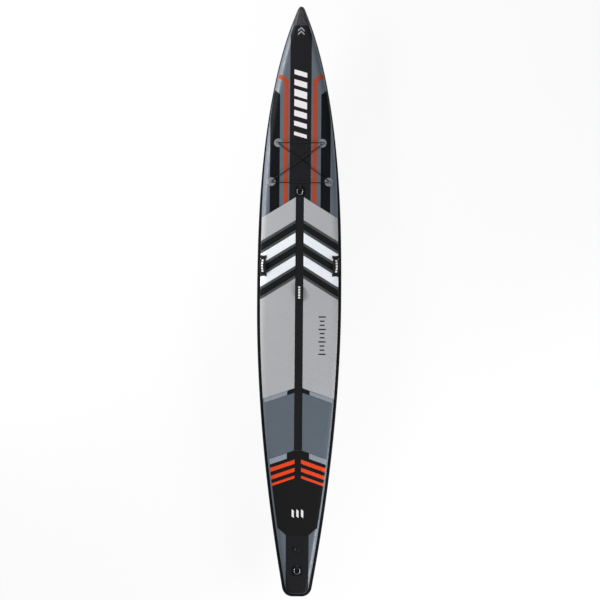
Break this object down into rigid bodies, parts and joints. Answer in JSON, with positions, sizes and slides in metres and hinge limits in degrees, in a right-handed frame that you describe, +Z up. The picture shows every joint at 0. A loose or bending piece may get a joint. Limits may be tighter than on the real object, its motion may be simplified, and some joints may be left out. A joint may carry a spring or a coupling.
{
  "type": "stand-up paddleboard",
  "caption": "Long narrow inflatable stand-up paddleboard with foam deck pads, carry handles, bungee, D-rings, air valve and a fin in a slotted box.",
  "frame": {"origin": "centre of the flat bottom, half-way along the board's length", "axes": "+X to the nose, +Y to port, +Z up out of the deck"},
  "size_m": [4.268, 0.6104, 0.5251],
  "materials": {
    "hull_skin": "satin coated fabric, slate grey",
    "rail_band": "satin black coated fabric",
    "hull_wall": "satin coated fabric",
    "black_band": "satin black coated fabric",
    "moulded_cap": "moulded, fine grain",
    "light_foam": "EVA foam with fine grooves",
    "border_foam": "EVA foam, dark grey",
    "black_foam": "EVA foam, black",
    "white_foam": "EVA foam, white",
    "slate_foam": "EVA foam, slate",
    "light_border_foam": "EVA foam, light blue grey",
    "orange_foam": "EVA foam, orange",
    "cord_black": "braided elastic cord",
    "patch_grey": "welded round patch, light grey",
    "patch_dark": "welded patch, dark grey",
    "clamp_black": "moulded clamp",
    "ring_steel": "polished stainless steel",
    "webbing": "woven webbing, black",
    "handle_plastic": "moulded, fine grain",
    "grip_foam": "padded neoprene sleeve",
    "valve_plastic": "moulded, satin",
    "seal_rubber": "soft seal",
    "spring_steel": "spring wire",
    "yarn": "polyester yarn",
    "fin_plastic": "moulded, satin black",
    "screw_steel": "stainless steel"
  },
  "bodies": {
    "hull": {"top_skin": "hull_skin", "bow_skin": "hull_skin", "bottom_skin": "hull_skin", "left_side_wall": "hull_wall", "right_side_wall": "hull_wall", "tail_wall": "hull_wall", "left_rail_band": "rail_band", "right_rail_band": "rail_band", "tail_rail_band": "rail_band", "nose_bumper": "moulded_cap", "deck_stringer": "black_band", "hull_stringer": "hull_wall", "drop_stitch_yarns": "yarn", "deck_pad_left": "light_foam", "deck_pad_right": "light_foam", "pad_grey_borders": "border_foam", "pad_black_bands": "black_foam", "pad_white_bands": "white_foam", "pad_slate_left": "slate_foam", "pad_slate_right": "slate_foam", "pad_light_borders": "light_border_foam", "pad_black_tabs": "black_foam", "pad_orange_chevrons": "orange_foam", "tail_pad": "black_foam", "bungee_cord": "cord_black", "bungee_clamp": "clamp_black", "bungee_patches": "patch_grey", "bungee_eyes": "ring_steel", "centre_ring_patch": "patch_dark", "stern_ring_patch": "patch_dark", "centre_ring_webbing": "webbing", "stern_ring_webbing": "webbing", "valve_body": "valve_plastic", "valve_gasket": "seal_rubber", "valve_nut": "valve_plastic", "valve_spring": "spring_steel", "cap_tether": "seal_rubber", "fin_box": "fin_plastic", "fin_box_patch": "patch_dark", "centre_handle_ends": "handle_plastic", "centre_handle_strap": "webbing", "left_handle_ends": "handle_plastic", "left_handle_strap": "webbing", "right_handle_ends": "handle_plastic", "right_handle_strap": "webbing"},
    "centre_ring": {"centre_ring": "ring_steel"},
    "stern_ring": {"stern_ring": "ring_steel"},
    "centre_grip": {"centre_handle_grip": "grip_foam"},
    "left_grip": {"left_handle_grip": "grip_foam"},
    "right_grip": {"right_handle_grip": "grip_foam"},
    "valve_plunger": {"valve_stem": "valve_plastic", "valve_diaphragm": "seal_rubber", "valve_clip": "valve_plastic"},
    "valve_lid": {"valve_cap": "valve_plastic", "cap_seal": "seal_rubber"},
    "fin_unit": {"fin": "fin_plastic", "fin_roller_pin": "screw_steel", "fin_plate": "screw_steel", "fin_screw": "screw_steel"}
  },
  "joints": [
    {"name": "centre_ring_hinge", "type": "hinge", "parent": "hull", "child": "centre_ring", "pos_m": [0.813, 0, 0.1561], "axis": [0, 1, 0], "range_deg": [0, 160]},
    {"name": "stern_ring_hinge", "type": "hinge", "parent": "hull", "child": "stern_ring", "pos_m": [-1.933, 0, 0.1561], "axis": [0, 1, 0], "range_deg": [0, 178]},
    {"name": "centre_grip_lift", "type": "slide", "parent": "hull", "child": "centre_grip", "axis": [0, 0, 1], "range_m": [0, 0.012], "deforming": ["centre_handle_strap"]},
    {"name": "left_grip_lift", "type": "slide", "parent": "hull", "child": "left_grip", "axis": [0, 0.3246, 0.9458], "range_m": [0, 0.012], "deforming": ["left_handle_strap"]},
    {"name": "right_grip_lift", "type": "slide", "parent": "hull", "child": "right_grip", "axis": [0, -0.3246, 0.9458], "range_m": [0, 0.012], "deforming": ["right_handle_strap"]},
    {"name": "valve_push", "type": "slide", "parent": "hull", "child": "valve_plunger", "axis": [0, 0, -1], "range_m": [0, 0.006], "stiffness_N_per_m": 300, "springref_m": -0.004, "deforming": ["valve_spring"]},
    {"name": "valve_cap_lift", "type": "slide", "parent": "hull", "child": "valve_lid", "axis": [0, 0, 1], "range_m": [0, 0.045], "deforming": ["cap_tether"]},
    {"name": "fin_slide", "type": "slide", "parent": "hull", "child": "fin_unit", "axis": [1, 0, 0], "range_m": [-0.035, 0.035]}
  ]
}
